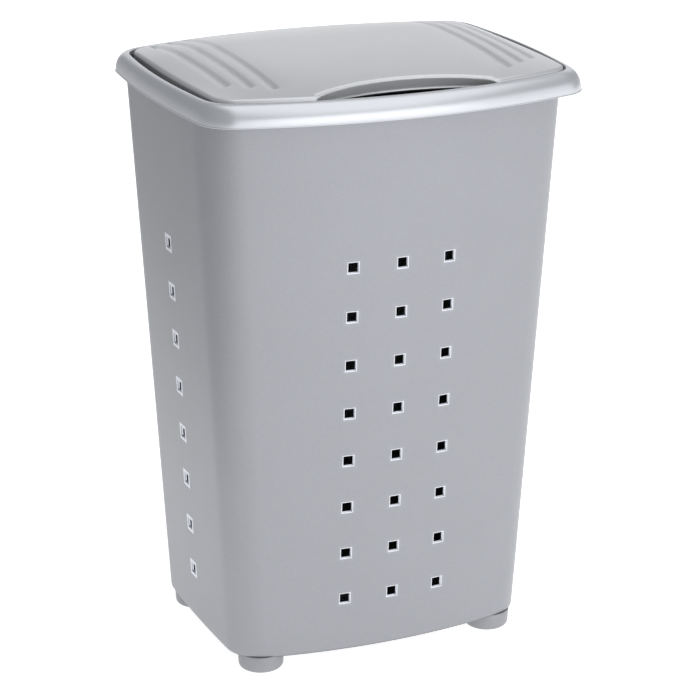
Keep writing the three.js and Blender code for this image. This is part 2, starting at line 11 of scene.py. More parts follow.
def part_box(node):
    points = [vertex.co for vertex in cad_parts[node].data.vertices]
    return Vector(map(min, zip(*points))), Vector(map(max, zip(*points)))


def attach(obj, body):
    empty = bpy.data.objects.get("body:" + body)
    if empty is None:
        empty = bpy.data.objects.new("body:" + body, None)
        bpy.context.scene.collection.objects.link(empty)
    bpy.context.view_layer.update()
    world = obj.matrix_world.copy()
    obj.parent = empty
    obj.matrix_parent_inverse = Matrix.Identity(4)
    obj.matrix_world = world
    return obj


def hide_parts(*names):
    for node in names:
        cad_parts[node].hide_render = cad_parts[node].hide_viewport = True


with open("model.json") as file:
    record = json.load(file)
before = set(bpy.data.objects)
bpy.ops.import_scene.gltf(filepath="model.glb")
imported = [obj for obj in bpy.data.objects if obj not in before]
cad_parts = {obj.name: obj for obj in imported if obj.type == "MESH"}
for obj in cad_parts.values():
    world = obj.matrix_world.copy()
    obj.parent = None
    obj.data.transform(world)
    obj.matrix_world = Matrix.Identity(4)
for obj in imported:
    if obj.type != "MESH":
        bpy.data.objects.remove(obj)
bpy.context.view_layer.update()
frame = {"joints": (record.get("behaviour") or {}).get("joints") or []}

# Sizes below are in millimetres, and MM turns them into the scene's metres.
MM = 0.001


def frame_box(node):
    """The lowest and highest corner of a CAD node, in millimetres."""
    low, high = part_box(node)
    return low / MM, high / MM


tub_low, tub_high = frame_box("tub")
collar_low, collar_high = frame_box("collar")
lid_low, lid_high = frame_box("lid")
hinge = Vector(frame["joints"][0]["pos_m"]) / MM


# ---- Outlines, seen from above ----


@dataclass
class Plan:
    """A rectangle with bowed sides and round corners."""

    width: float
    depth: float
    bow: float
    side_bow: float
    corner: float
    y: float = 0.0

    def inset(self, by):
        return replace(
            self,
            width=self.width - 2 * by,
            depth=self.depth - 2 * by,
            corner=max(self.corner - by, 1),
        )

    def mixed(self, other, share):
        def mix(name):
            return getattr(self, name) * (1 - share) + getattr(other, name) * share

        return Plan(*(mix(name) for name in ("width", "depth", "bow", "side_bow", "corner", "y")))

    def arcs(self):
        """Centre and radius of the end and side arcs, then the corner arc's centre and its two angles."""
        half_x = self.width / 2 - self.side_bow
        half_y = self.depth / 2 - self.bow
        end_r = (half_x**2 + self.bow**2) / (2 * self.bow)
        side_r = (half_y**2 + self.side_bow**2) / (2 * self.side_bow)
        end_y = self.depth / 2 - end_r
        side_x = self.width / 2 - side_r
        to_end = end_r - self.corner
        to_side = side_r - self.corner
        between = math.hypot(side_x, end_y)
        along = (between**2 + to_end**2 - to_side**2) / (2 * between)
        off = math.sqrt(to_end**2 - along**2)
        ux, uy = side_x / between, -end_y / between
        corner_x = ux * along + uy * off
        corner_y = end_y + uy * along - ux * off
        side_angle = math.atan2(corner_y, corner_x - side_x)
        end_angle = math.atan2(corner_y - end_y, corner_x)
        return end_y, end_r, side_x, side_r, corner_x, corner_y, side_angle, end_angle

    def quarter(self, side_marks, end_marks, steps):
        """Points from the middle of the right side to the middle of the back."""
        end_y, end_r, side_x, side_r, corner_x, corner_y, side_angle, end_angle = self.arcs()
        side_steps, corner_steps, end_steps = steps
        side_stop = side_r * math.sin(side_angle)
        end_stop = end_r * math.cos(end_angle)
        ys = list(side_marks[:-1]) + spaced(side_marks[-1], side_stop, side_steps)
        xs = list(end_marks[:-1]) + spaced(end_marks[-1], end_stop, end_steps)
        points = [(side_x + math.sqrt(side_r**2 - y**2), y) for y in ys]
        for angle in spaced(side_angle, end_angle, corner_steps)[1:-1]:
            points.append(
                (corner_x + self.corner * math.cos(angle), corner_y + self.corner * math.sin(angle))
            )
        points += [(x, end_y + math.sqrt(end_r**2 - x**2)) for x in reversed(xs)]
        return points

    def ring(self, z, side_marks=(0,), end_marks=(0,), steps=(14, 14, 24)):
        """The whole outline at height z, anticlockwise from the middle of the right side."""
        first = self.quarter(side_marks, end_marks, steps)
        centre_side = 1 if side_marks[0] == 0 else 0
        centre_end = 1 if end_marks[0] == 0 else 0
        back_left = [(-x, y) for x, y in reversed(first[: len(first) - centre_end])]
        front_left = [(-x, -y) for x, y in first[centre_side:]]
        front_right = [(x, -y) for x, y in reversed(first[centre_side : len(first) - centre_end])]
        points = first + back_left + front_left + front_right
        return [Vector((x, y + self.y, z)) * MM for x, y in points]


def spaced(start, stop, steps):
    return [start + (stop - start) * i / steps for i in range(steps + 1)]


def turned(start, stop, steps):
    """Shares of a quarter turn as (sine, cosine) pairs, from start to stop, both in quarter turns."""
    angles = [math.pi / 2 * share for share in spaced(start, stop, steps)]
    return [(math.sin(angle), math.cos(angle)) for angle in angles]


# ---- Modelling steps ----


def only(piece):
    bpy.ops.object.select_all(action="DESELECT")
    piece.select_set(True)
    bpy.context.view_layer.objects.active = piece


def editing(piece, mode="VERT"):
    only(piece)
    bpy.ops.object.mode_set(mode="EDIT")
    bpy.ops.mesh.select_mode(type=mode)


def done():
    bpy.ops.object.mode_set(mode="OBJECT")


def settle(piece):
    """Puts the object's place and turn into its mesh."""
    only(piece)
    bpy.ops.object.transform_apply(location=True, rotation=True, scale=True)
    return piece


def select_faces(piece, wanted):
    """Selects the faces for which wanted(centre in millimetres, normal) is true, from object mode."""
    mesh = piece.data
    mesh.polygons.foreach_set("select", [False] * len(mesh.polygons))
    mesh.edges.foreach_set("select", [False] * len(mesh.edges))
    mesh.vertices.foreach_set("select", [False] * len(mesh.vertices))
    for face in mesh.polygons:
        face.select = wanted(face.center / MM, face.normal)


def select_points(piece, wanted):
    mesh = piece.data
    mesh.polygons.foreach_set("select", [False] * len(mesh.polygons))
    mesh.edges.foreach_set("select", [False] * len(mesh.edges))
    for point in mesh.vertices:
        point.select = wanted(point.co / MM)


def extruded_ring(piece, place):
    """Extrudes the selected open edges, and puts each new point where place(its station) says."""
    known = len(piece.data.vertices)
    bpy.ops.mesh.extrude_edges_move()
    done()
    stations = piece.data.attributes["station"].data
    for point in piece.data.vertices[known:]:
        point.co = place(stations[point.index].value)
    bpy.ops.object.mode_set(mode="EDIT")


def loft(name, rings, closed=False):
    """A circle is put on the first ring, then extruded from ring to ring."""
    bpy.ops.object.select_all(action="DESELECT")
    bpy.ops.mesh.primitive_circle_add(vertices=len(rings[0]))
    piece = bpy.context.object
    piece.name = name
    stations = piece.data.attributes.new("station", "INT", "POINT")
    for point in piece.data.vertices:
        stations.data[point.index].value = point.index
        point.co = rings[0][point.index]
    editing(piece)
    bpy.ops.mesh.select_all(action="SELECT")
    for ring in rings[1:]:
        extruded_ring(piece, lambda station: ring[station])
    if closed:
        done()
        ends = set(range(len(rings[0])))
        last = len(piece.data.vertices) - len(rings[0])
        for point in piece.data.vertices:
            point.select = point.index in ends or point.index >= last
        bpy.ops.object.mode_set(mode="EDIT")
        bpy.ops.mesh.select_mode(type="EDGE")
        bpy.ops.mesh.select_non_manifold()
        bpy.ops.mesh.bridge_edge_loops()
    bpy.ops.mesh.select_all(action="SELECT")
    bpy.ops.mesh.normals_make_consistent(inside=False)
    done()
    return piece


def modified(piece, kind, **settings):
    """Adds a modifier with these settings and applies it."""
    only(piece)
    modifier = piece.modifiers.new(kind.title(), kind)
    for key, value in settings.items():
        setattr(modifier, key, value)
    bpy.ops.object.modifier_apply(modifier=modifier.name)
    return piece


def cut_with(piece, cutter, operation="DIFFERENCE"):
    modified(piece, "BOOLEAN", operation=operation, solver="EXACT", object=cutter)
    bpy.data.objects.remove(cutter, do_unlink=True)
    return piece


def smooth(piece, degrees):
    only(piece)
    bpy.ops.object.shade_smooth_by_angle(angle=math.radians(degrees))
    return piece


def block(name, low, high):
    """A box between two corners, in millimetres."""
    bpy.ops.object.select_all(action="DESELECT")
    bpy.ops.mesh.primitive_cube_add(size=1)
    piece = bpy.context.object
    piece.name = name
    piece.location = (Vector(low) + Vector(high)) / 2 * MM
    piece.scale = (Vector(high) - Vector(low)) * MM
    return settle(piece)


def bar_along_x(name, start, stop, y, z, radius, vertices=48):
    bpy.ops.object.select_all(action="DESELECT")
    bpy.ops.mesh.primitive_cylinder_add(
        vertices=vertices,
        radius=radius * MM,
        depth=(stop - start) * MM,
        location=Vector(((start + stop) / 2, y, z)) * MM,
        rotation=(0, math.pi / 2, 0),
    )
    piece = bpy.context.object
    piece.name = name
    return settle(piece)


# ---- Tub ----

TUB_OFFSET_Y = (tub_low.y + tub_high.y) / 2
FLANGE_REACH = 3.4
FLANGE_THICKNESS = 2.2
TUB_WALL = 2.2
TUB_HEEL = 2.5
TUB_TOP = Plan(
    width=tub_high.x - tub_low.x - 2 * FLANGE_REACH,
    depth=tub_high.y - tub_low.y - 2 * FLANGE_REACH,
    bow=30.4,
    side_bow=3.2,
    corner=45,
    y=TUB_OFFSET_Y,
)
TUB_BOTTOM = replace(TUB_TOP, width=297.4, depth=236.3, bow=18.9, side_bow=2.8, corner=34)

COLLAR_SKIRT = tub_high.z - 4.2

# Height of the band of painted shade under the collar's skirt; the wall has finer rows there.
SKIRT_SHADE = 5

HOLE = 8.8
HOLE_FRAME = 4
SIDE_COLUMN = 20
HOLE_CELL = HOLE / 2 + HOLE_FRAME
HOLE_PITCH_X = 47.3
HOLE_ROWS = 8
HOLE_TOP = tub_high.z - 143.8
HOLE_BOTTOM = tub_low.z + 53.25
HOLE_HEIGHTS = spaced(HOLE_BOTTOM, HOLE_TOP, HOLE_ROWS - 1)

STEM_HOLE = 6.3
FOOT_NODES = ("foot_front_left", "foot_front_right", "foot_rear_left", "foot_rear_right")


def tub_plan(z):
    share = (z - tub_low.z) / (tub_high.z - tub_low.z)
    return TUB_BOTTOM.mixed(TUB_TOP, share)


def tub_wall_heights():
    """Heights of the wall's rows: every hole has a row of its own."""
    heights = spaced(tub_low.z + TUB_HEEL, HOLE_HEIGHTS[0] - HOLE_CELL, 4)
    for lower, upper in zip(HOLE_HEIGHTS, HOLE_HEIGHTS[1:]):
        heights += spaced(lower + HOLE_CELL, upper - HOLE_CELL, 4)
    heights += spaced(HOLE_HEIGHTS[-1] + HOLE_CELL, COLLAR_SKIRT - SKIRT_SHADE, 12)
    heights += spaced(COLLAR_SKIRT - SKIRT_SHADE, COLLAR_SKIRT, 3)[1:]
    return heights + [tub_high.z - FLANGE_THICKNESS]


def is_hole_cell(centre, normal):
    """True for the wall's cells that hold a hole: three columns in front and behind, one at each side."""
    near = HOLE_CELL / 2
    if min(abs(centre.z - height) for height in HOLE_HEIGHTS) > near:
        return False
    if abs(normal.y) > abs(normal.x):
        column = abs(centre.x) / HOLE_PITCH_X
        return column < 1.2 and abs(column - round(column)) * HOLE_PITCH_X < near
    return abs(centre.y - TUB_OFFSET_Y) < near


def framed_holes(tub):
    """Raises a low smooth frame round every hole, rounds its inner edge and opens the hole inside it."""
    select_faces(tub, is_hole_cell)
    cells = [face.index for face in tub.data.polygons if face.select]
    points = len(tub.data.vertices)
    editing(tub, "FACE")
    bpy.ops.mesh.inset(thickness=0.5 * MM, depth=0.05 * MM, use_individual=True)
    bpy.ops.mesh.inset(thickness=2.1 * MM, depth=0, use_individual=True)
    frame_points = points + 8 * len(cells)
    for width, rise in ((0.2, 0.1), (0.5, 0.15), (0.4, -0.2), (0.3, -0.5)):
        bpy.ops.mesh.inset(thickness=width * MM, depth=rise * MM, use_individual=True)
    bpy.ops.mesh.delete(type="FACE")
    done()
    # Painted highlight: the side frames and the inner edges of all frames are painted lighter, and the rest
    # of the front frames a touch lighter.
    painted_light = tub.data.attributes.new("painted_light", "FLOAT", "POINT")
    for point in tub.data.vertices[points:]:
        place = point.co / MM
        at_side = abs(place.y - TUB_OFFSET_Y) < SIDE_COLUMN
        inner_edge = point.index >= frame_points
        painted_light.data[point.index].value = 1.0 if at_side or inner_edge else 0.03


def shaded(tub):
    """Painted shade: the wall is darker close under the collar's skirt, where the skirt shadows it, and on
    the underside.
    """
    shade = tub.data.attributes.new("shade", "FLOAT", "POINT")
    for point in tub.data.vertices:
        z = point.co.z / MM
        under_skirt = (z - COLLAR_SKIRT + SKIRT_SHADE) / SKIRT_SHADE
        underneath = (tub_low.z + 1.6 - z) / 1.2
        shade.data[point.index].value = min(max(under_skirt, underneath, 0), 1)


def foot_centre(node):
    low, high = frame_box(node)
    return (low + high) / 2


def make_tub():
    marks_x = spaced(HOLE_CELL, HOLE_PITCH_X - HOLE_CELL, 4) + [HOLE_PITCH_X + HOLE_CELL]
    columns = {"side_marks": (HOLE_CELL,), "end_marks": marks_x, "steps": (10, 16, 9)}
    rings = []
    for sine, cosine in turned(0, 1, 6)[:-1]:
        z = tub_low.z + TUB_HEEL * (1 - cosine)
        rings.append(tub_plan(z).inset(TUB_HEEL * (1 - sine)).ring(z, **columns))
    rings += [tub_plan(z).ring(z, **columns) for z in tub_wall_heights()]
    flange_z = tub_high.z - FLANGE_THICKNESS
    rings.append(tub_plan(flange_z).inset(-FLANGE_REACH).ring(flange_z, **columns))
    tub = loft("tub_shell", rings)

    bottom_z = tub_low.z + 0.01
    select_points(tub, lambda point: point.z < bottom_z)
    editing(tub)
    bpy.ops.mesh.edge_face_add()
    bpy.ops.mesh.select_all(action="SELECT")
    bpy.ops.mesh.normals_make_consistent(inside=False)
    done()

    framed_holes(tub)
    shaded(tub)
    modified(tub, "SOLIDIFY", thickness=TUB_WALL * MM, offset=-1, use_even_offset=True)
    for node in FOOT_NODES:
        centre = foot_centre(node)
        bpy.ops.mesh.primitive_cylinder_add(
            vertices=48,
            radius=STEM_HOLE * MM,
            depth=20 * MM,
            location=Vector((centre.x, centre.y, tub_low.z)) * MM,
        )
        cut_with(tub, settle(bpy.context.object))
    return smooth(tub, 40)


# ---- Feet: turned cups, each with a stem that passes through the tub's floor ----

FOOT_RADIUS = 22
FOOT_GAP = 0.3
FOOT_TAPER = 0.955
FOOT_EDGE = 4.2
FOOT_WALL = 2.2
FOOT_HOLLOW = 12.5
STEM_INSET = 13.2
STEM_BASE = 4.5


def make_foot(node):
    low, high = frame_box(node)
    centre = (low + high) / 2
    top_z = tub_low.z - FOOT_GAP
    bpy.ops.object.select_all(action="DESELECT")
    bpy.ops.mesh.primitive_cylinder_add(
        vertices=96,
        radius=FOOT_RADIUS * MM,
        depth=(top_z - low.z) * MM,
        location=Vector((centre.x, centre.y, (top_z + low.z) / 2)) * MM,
    )
    foot = bpy.context.object
    foot.name = node + "_cup"
    settle(foot)

    middle = Vector((centre.x, centre.y, low.z)) * MM
    select_faces(foot, lambda place, normal: normal.z < -0.9)
    editing(foot, "FACE")
    bpy.ops.transform.resize(value=(FOOT_TAPER, FOOT_TAPER, 1), center_override=middle)
    bpy.ops.mesh.bevel(offset=FOOT_EDGE * MM, segments=8)
    bpy.ops.mesh.select_all(action="DESELECT")
    done()

    select_faces(foot, lambda place, normal: normal.z > 0.9)
    editing(foot, "FACE")
    bpy.ops.mesh.bevel(offset=0.4 * MM, segments=2)
    done()
    select_faces(foot, lambda place, normal: normal.z > 0.99 and place.z > top_z - 0.1)
    editing(foot, "FACE")
    bpy.ops.mesh.inset(thickness=FOOT_WALL * MM)
    bpy.ops.mesh.extrude_region_move(TRANSFORM_OT_translate={"value": (0, 0, -FOOT_HOLLOW * MM)})
    bpy.ops.mesh.inset(thickness=STEM_INSET * MM)
    bpy.ops.mesh.extrude_region_move(TRANSFORM_OT_translate={"value": (0, 0, (high.z - STEM_BASE) * MM)})
    bpy.ops.mesh.bevel(offset=1 * MM, segments=3)
    done()
    return smooth(foot, 40)


# ---- Collar ----

COLLAR_OUTER = Plan(
    width=collar_high.x - collar_low.x,
    depth=collar_high.y - collar_low.y,
    bow=30.3,
    side_bow=8.5,
    corner=35,
)
ROLL_X = 8.8
ROLL_Y = 14.2
COLLAR_INNER = replace(
    COLLAR_OUTER,
    width=COLLAR_OUTER.width - 2 * ROLL_X,
    depth=COLLAR_OUTER.depth - 2 * ROLL_Y,
    corner=31,
)
COLLAR_WALL = 2.4
COLLAR_TOP = tub_high.z + 14.6
CONTACT_GAP = 0.3
CUT_MARGIN = 1
SEAT = tub_high.z + CONTACT_GAP
LEDGE = SEAT + 2.5
LEDGE_X = 14.7
LEDGE_Y = 16.3
WELL = COLLAR_INNER.inset(1.8)
MOUTH = replace(
    COLLAR_INNER,
    width=COLLAR_INNER.width - 2 * LEDGE_X,
    depth=COLLAR_INNER.depth - 2 * LEDGE_Y,
    corner=24,
)
LIP_DEPTH = 8
LIP_THICKNESS = 2
LIP_CLEARANCE = 0.4
LIP_ROOT = 0.4
RELIEF_SIDE_X = 163.3
RELIEF_SIDE_Y = hinge.y - 7
RELIEF_RISE = 0.25


def roll_rings(inset, bottom, top, shares):
    """The roll is a quarter of an ellipse, from the skirt up to the collar's inner edge."""
    return [
        COLLAR_INNER.mixed(COLLAR_OUTER, cosine).inset(inset).ring(bottom + (top - bottom) * sine)
        for sine, cosine in shares
    ]


def collar_rings():
    """The collar's section from the skirt's bead over the roll, down the well and back underneath."""
    bead = 0.55
    edge = 0.9
    fillet = 1.2
    rings = [
        COLLAR_OUTER.inset(bead * 1.6).ring(COLLAR_SKIRT),
        COLLAR_OUTER.inset(bead * 0.4).ring(COLLAR_SKIRT + 0.12),
        COLLAR_OUTER.ring(COLLAR_SKIRT + 0.5),
        COLLAR_OUTER.inset(bead * 0.3).ring(COLLAR_SKIRT + 0.95),
        COLLAR_OUTER.inset(bead).ring(COLLAR_SKIRT + 1.2),
    ]
    rings += roll_rings(bead, COLLAR_SKIRT + 1.5, COLLAR_TOP, turned(0, 1, 22))
    for sine, cosine in turned(0, 1, 6)[1:]:
        plan = COLLAR_INNER.inset(bead + edge * sine)
        rings.append(plan.ring(COLLAR_TOP - edge * (1 - cosine)))
    # The rings of the channel beside the lid, which get painted shade.
    channel = range(len(rings), len(rings) + 6)
    for sine, cosine in turned(0, 1, 5):
        plan = WELL.inset(fillet * (1 - cosine))
        rings.append(plan.ring(LEDGE + fillet * (1 - sine)))
    for sine, cosine in turned(0, 1, 4):
        rings.append(MOUTH.inset(-1 + sine).ring(LEDGE - 1 + cosine))
    rings.append(MOUTH.ring(SEAT))
    rings.append(WELL.inset(-COLLAR_WALL).ring(SEAT))
    rings.append(COLLAR_INNER.inset(-COLLAR_WALL).ring(COLLAR_TOP - 1.8 * COLLAR_WALL))
    under = roll_rings(COLLAR_WALL, COLLAR_SKIRT + 1.5, COLLAR_TOP - COLLAR_WALL, turned(0, 0.72, 8))
    rings += reversed(under)
    rings.append(COLLAR_OUTER.inset(COLLAR_WALL).ring(COLLAR_SKIRT))
    return rings, channel


def prism(name, plan, bottom, top):
    """A solid with this outline between two heights."""
    piece = loft(name, [plan.ring(bottom), plan.ring(top)])
    editing(piece)
    bpy.ops.mesh.select_all(action="SELECT")
    bpy.ops.mesh.fill_holes(sides=0)
    bpy.ops.mesh.select_all(action="SELECT")
    bpy.ops.mesh.normals_make_consistent(inside=False)
    done()
    return piece


def cut_ledge(collar):
    """The lid dips behind the hinge as it opens, so the ledge stops there, and at the sides sooner."""
    bottom = SEAT - CUT_MARGIN
    top = LEDGE + RELIEF_RISE
    inside_tub = TUB_TOP.inset(TUB_WALL + CONTACT_GAP)
    reach = COLLAR_INNER.width / 2
    back = COLLAR_INNER.depth / 2
    areas = [((-reach, hinge.y, bottom), (reach, back, top))]
    for side in (1, -1):
        x = sorted((side * RELIEF_SIDE_X, side * reach))
        areas.append(((x[0], RELIEF_SIDE_Y, bottom), (x[1], hinge.y + 0.5, top)))
    for low, high in areas:
        room = prism("relief_room", WELL.inset(CONTACT_GAP), bottom, top)
        tub_room = prism("relief_tub", inside_tub, bottom - CUT_MARGIN, top + CUT_MARGIN)
        cut_with(room, tub_room, "INTERSECT")
        cut_with(room, block("relief_area", low, high), "INTERSECT")
        cut_with(collar, room)
    return collar


def make_lip():
    """The collar's lip drops inside the tub, and stops where the ledge does."""
    outside = TUB_TOP.inset(TUB_WALL + LIP_CLEARANCE)
    inside = outside.inset(LIP_THICKNESS)
    bottom = SEAT - LIP_DEPTH
    top = SEAT + LIP_ROOT
    rings = [outside.ring(top), outside.ring(bottom), inside.ring(bottom), inside.ring(top)]
    lip = loft("collar_lip", rings, closed=True)
    reach = COLLAR_OUTER.width / 2
    back = COLLAR_OUTER.depth / 2
    behind = block("lip_back", (-reach, hinge.y, bottom - CUT_MARGIN), (reach, back, LEDGE + CUT_MARGIN))
    cut_with(lip, behind)
    return smooth(lip, 40)


def make_collar():
    """The roll, the well and the ledge in one closed loft, with painted shade on the channel round the lid.
    """
    rings, channel = collar_rings()
    collar = loft("collar_rim", rings, closed=True)
    # Painted shade: the channel's points are marked to be darkened, since little light reaches down the
    # gap.
    shade = collar.data.attributes.new("shade", "FLOAT", "POINT")
    for point in collar.data.vertices:
        if point.index // len(rings[0]) in channel:
            shade.data[point.index].value = 1
    return smooth(cut_ledge(collar), 40)


# ---- Lid ----

LID_SIDE_GAP = 9.2
LID_FRONT_GAP = 1.5
LID_FRONT = -COLLAR_INNER.depth / 2 + LID_FRONT_GAP
LID_BACK = lid_high.y
LID = Plan(
    width=COLLAR_INNER.width - 2 * LID_SIDE_GAP,
    depth=LID_BACK - LID_FRONT,
    bow=30.3,
    side_bow=4,
    corner=22,
    y=(LID_BACK + LID_FRONT) / 2,
)
LID_BOTTOM = lid_low.z
LID_HALF = LID.width / 2
LID_CROWN_Y = LID_FRONT + 0.645 * LID.depth
LID_SKIN = 2.5
LID_SKIRT_WALL = 2.2
LID_SKIRT_LEAN = 0.3
LID_CROWN = 13.5
LID_FRONT_RISE = 2.5
LID_EDGE_FALL = 1.5
LID_EDGE_SAG = 0.6
LID_SIDE_FLATNESS = 6.2
LID_FRONT_FLATNESS = 2.3
LID_BACK_FLATNESS = 1.7

FLUTE_COUNT = 3
FLUTE_FIRST = LID_HALF - 60.3
FLUTE_PITCH = 17.7
FLUTE_HALF = 6.2
FLUTE_DEPTH = 2.1
FLUTE_FRONT = 21
FLUTE_BACK = 7
FLUTE_STAGGER = 7.5
FLUTE_RUNOUT = 6

ARCH_HALF = LID_HALF * 0.507
ARCH_DEPTH = 28
ARCH_WALL_END = COLLAR_TOP - 5

END_Y, END_R, SIDE_X, SIDE_R, CORNER_X, CORNER_Y, SIDE_ANGLE, END_ANGLE = LID.arcs()
BOW_FRONT_Y = LID.y - END_Y


def bow_at(x):
    return END_R - math.sqrt(END_R**2 - x**2)


ARCH_APEX = LID_FRONT + ARCH_DEPTH
ARCH_SAGITTA = ARCH_APEX - (LID_FRONT + bow_at(ARCH_HALF))
ARCH_R = (ARCH_HALF**2 + ARCH_SAGITTA**2) / (2 * ARCH_SAGITTA)
ARCH_Y = ARCH_APEX - ARCH_R


def flute_places():
    """Distance from the middle, front end and back end of every flute on one side."""
    for i in range(FLUTE_COUNT):
        x = FLUTE_FIRST + i * FLUTE_PITCH
        front = LID_FRONT + bow_at(x) + FLUTE_FRONT + i * FLUTE_STAGGER
        back = LID_BACK - bow_at(x) - FLUTE_BACK
        yield x, front, back


FLUTES = list(flute_places())


def flute_dip(x, y):
    """A flute is a round trough, and both its ends are round too."""
    for flute_x, front, back in FLUTES:
        across = (abs(x) - flute_x) / FLUTE_HALF
        if abs(across) >= 1:
            continue
        past = max(front + FLUTE_RUNOUT - y, y - back + FLUTE_RUNOUT, 0) / FLUTE_RUNOUT
        away = math.hypot(across, past)
        return FLUTE_DEPTH * math.cos(min(away, 1) * math.pi / 2) ** 2
    return 0


def lid_top(x, y):
    """Height of the lid's upper surface: its edge, the dome on it and the flutes in the dome."""
    bow = bow_at(min(abs(x), LID_HALF - 0.1))
    front = LID_FRONT + bow
    back = LID_BACK - bow
    span = LID_CROWN_Y - front if y < LID_CROWN_Y else back - LID_CROWN_Y
    lengthwise = min(abs(y - LID_CROWN_Y) / span, 1)
    crosswise = min(abs(x) / LID_HALF, 1)
    share = min(max((y - LID_FRONT) / LID.depth, 0), 1)
    fall = LID_EDGE_FALL * share**2 + LID_EDGE_SAG * math.sin(math.pi * share)
    edge = COLLAR_TOP + LID_FRONT_RISE - fall
    flatness = LID_FRONT_FLATNESS if y < LID_CROWN_Y else LID_BACK_FLATNESS
    dome = LID_CROWN * (1 - crosswise**LID_SIDE_FLATNESS) * (1 - lengthwise**flatness)
    return edge + dome - flute_dip(x, y)


@dataclass
class Border:
    """A point of the lid's edge, the direction into the lid, and whether it lies on the finger arch."""

    x: float
    y: float
    nx: float
    ny: float
    arch: float = 0.0

    def at(self, distance):
        return self.x + self.nx * distance, self.y + self.ny * distance


FIELD_INSET = 8.5
COLUMN_LIMIT = 155
ARCH_BLEND = 7


def arch_border(x):
    """A point of the finger arch, which passes into the plain edge over its last few millimetres."""
    sine = x / (ARCH_R + FIELD_INSET)
    cosine = math.sqrt(1 - sine**2)
    base_x = ARCH_R * sine
    arch = min(max((ARCH_HALF - abs(base_x)) / ARCH_BLEND, 0.001), 1)
    return Border(base_x, ARCH_Y + ARCH_R * cosine, sine, cosine, arch)


def kink_border(side):
    """The corner where the arch meets the front edge."""
    y = LID_FRONT + bow_at(ARCH_HALF)
    into_arch = Vector((ARCH_HALF / ARCH_R, (y - ARCH_Y) / ARCH_R))
    into_front = Vector((-ARCH_HALF / END_R, (BOW_FRONT_Y - y) / END_R))
    miter = (into_arch + into_front) / (1 + into_arch.dot(into_front))
    return Border(side * ARCH_HALF, y, side * miter.x, miter.y)


KINK_X = abs(kink_border(1).at(FIELD_INSET)[0])


def end_border(x, towards):
    """A point of the bowed front (towards -1) or back (towards 1) edge, or of the corner next to it."""
    centre_y = LID.y + towards * END_Y
    sine = x / (END_R - FIELD_INSET)
    if abs(sine) < math.cos(END_ANGLE):
        cosine = math.sqrt(1 - sine**2)
        return Border(END_R * sine, centre_y + towards * END_R * cosine, -sine, -towards * cosine)
    cosine = (abs(x) - CORNER_X) / (LID.corner - FIELD_INSET)
    return corner_border(math.acos(cosine), math.copysign(1, x), towards)


def corner_border(angle, side, towards):
    nx, ny = side * math.cos(angle), towards * math.sin(angle)
    x = side * CORNER_X + LID.corner * nx
    y = LID.y + towards * CORNER_Y + LID.corner * ny
    return Border(x, y, -nx, -ny)


MIDDLE_ANGLE = (SIDE_ANGLE + END_ANGLE) / 2
LIMIT_ANGLE = math.acos((COLUMN_LIMIT - CORNER_X) / (LID.corner - FIELD_INSET))


def side_border(share, side):
    """A point of the lid's side, where share runs from the front corner's middle to the back corner's."""
    reach = CORNER_Y + (LID.corner - FIELD_INSET) * math.sin(MIDDLE_ANGLE)
    y = reach * (2 * share - 1)
    towards = math.copysign(1, y)
    if abs(y) < (SIDE_R - FIELD_INSET) * math.sin(SIDE_ANGLE):
        sine = y / (SIDE_R - FIELD_INSET)
        cosine = math.sqrt(1 - sine**2)
        x = side * (SIDE_X + SIDE_R * cosine)
        return Border(x, LID.y + SIDE_R * sine, -side * cosine, -sine)
    angle = math.asin((abs(y) - CORNER_Y) / (LID.corner - FIELD_INSET))
    return corner_border(angle, side, towards)


def lid_columns():
    """Places of the field's columns right of the middle: close together over the flutes."""
    xs = spaced(0, KINK_X - 4, 14) + [KINK_X - 2.4, KINK_X - 1.2, KINK_X - 0.5, KINK_X, KINK_X + 1]
    for flute_x, _, _ in FLUTES:
        xs += spaced(flute_x - FLUTE_HALF, flute_x + FLUTE_HALF, 12)
        xs.append(flute_x + FLUTE_PITCH / 2)
    return [x for x in xs if x < COLUMN_LIMIT - 0.5] + [COLUMN_LIMIT]


RIGHT_COLUMNS = lid_columns()
COLUMNS = [-x for x in reversed(RIGHT_COLUMNS[1:])] + RIGHT_COLUMNS
CORNER_COLUMNS = 4
ROWS = 112


def front_border(x):
    if abs(abs(x) - KINK_X) < 0.01:
        return kink_border(math.copysign(1, x))
    if abs(x) < KINK_X:
        return arch_border(x)
    return end_border(x, -1)


